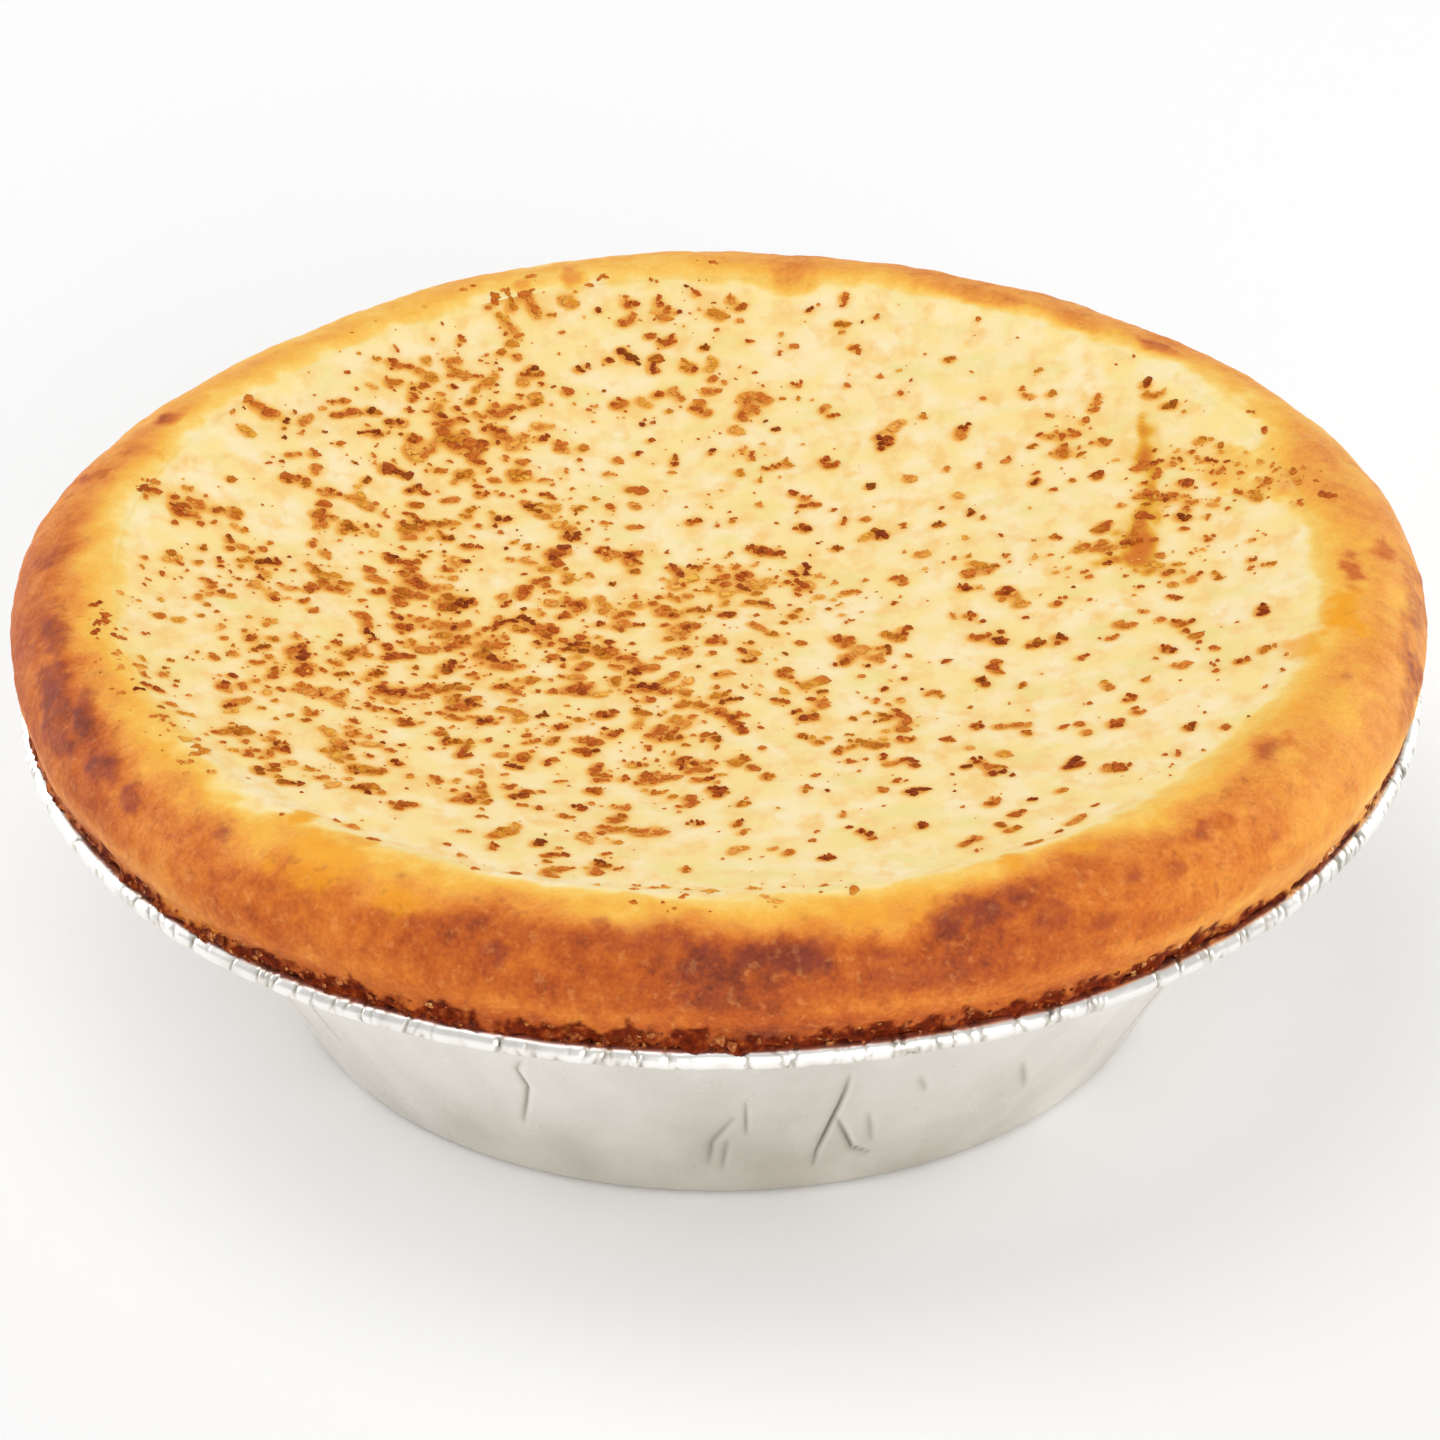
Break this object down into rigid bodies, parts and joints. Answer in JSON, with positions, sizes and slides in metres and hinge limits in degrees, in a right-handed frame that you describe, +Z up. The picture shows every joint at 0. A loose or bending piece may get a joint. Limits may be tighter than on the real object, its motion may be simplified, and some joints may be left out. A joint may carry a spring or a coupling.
{
  "type": "milk tart",
  "caption": "Round baked custard tart: dished custard dusted with cinnamon flakes, thick browned pastry lip, in a deep flared foil pie dish with a rolled rim.",
  "frame": {"origin": "middle of the dish's flat underside, on the surface the tart stands on", "axes": "+Z up through the middle of the tart, +X to the right and -Y to the front as the picture shows it"},
  "size_m": [0.1296, 0.1294, 0.0428],
  "materials": {
    "foil": "satin",
    "pastry": "matte",
    "custard": "soft sheen",
    "cinnamon": "matte powder"
  },
  "bodies": {
    "root": {"foil_dish": "foil", "pastry_shell": "pastry", "custard": "custard"}
  },
  "joints": []
}
